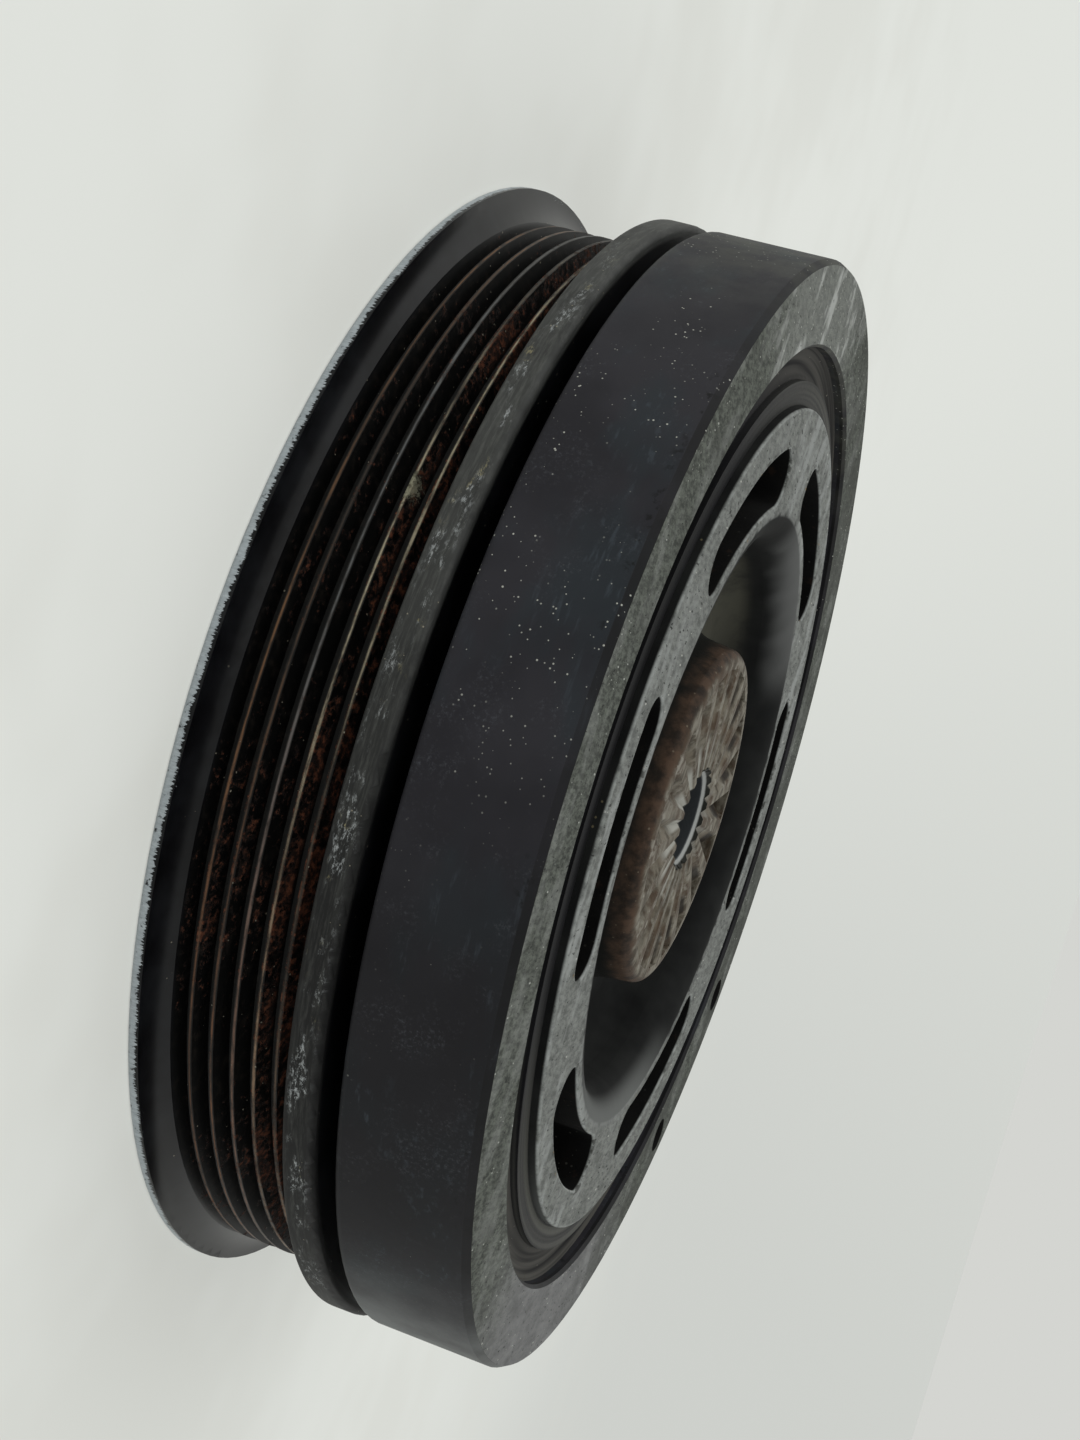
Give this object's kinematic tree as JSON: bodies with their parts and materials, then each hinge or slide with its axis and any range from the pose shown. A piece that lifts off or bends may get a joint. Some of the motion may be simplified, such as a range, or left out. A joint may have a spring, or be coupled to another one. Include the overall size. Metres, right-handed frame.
{
  "type": "crankshaft pulley with torsional vibration damper",
  "caption": "Poly-V belt pulley on a splined, windowed hub with a rubber-mounted inertia ring behind the belt rim.",
  "frame": {"origin": "on the pulley's axis, at the front end of the belt rim, on which it stands", "axes": "+Z along the axis, from the front end towards the splined face that meets the crankshaft"},
  "size_m": [0.1988, 0.1988, 0.0565],
  "materials": {
    "belt_pulley": "black paint on spun steel, worn bright on the rims, rust in the grooves",
    "hub": "dull grey forged steel, rust brown on the boss",
    "damper_rubber": "aged matt rubber",
    "inertia_ring": "satin dark coating, worn grey on the rear face"
  },
  "bodies": {
    "root": {"belt_pulley": "belt_pulley", "hub": "hub", "damper_rubber": "damper_rubber", "inertia_ring": "inertia_ring"}
  },
  "joints": []
}
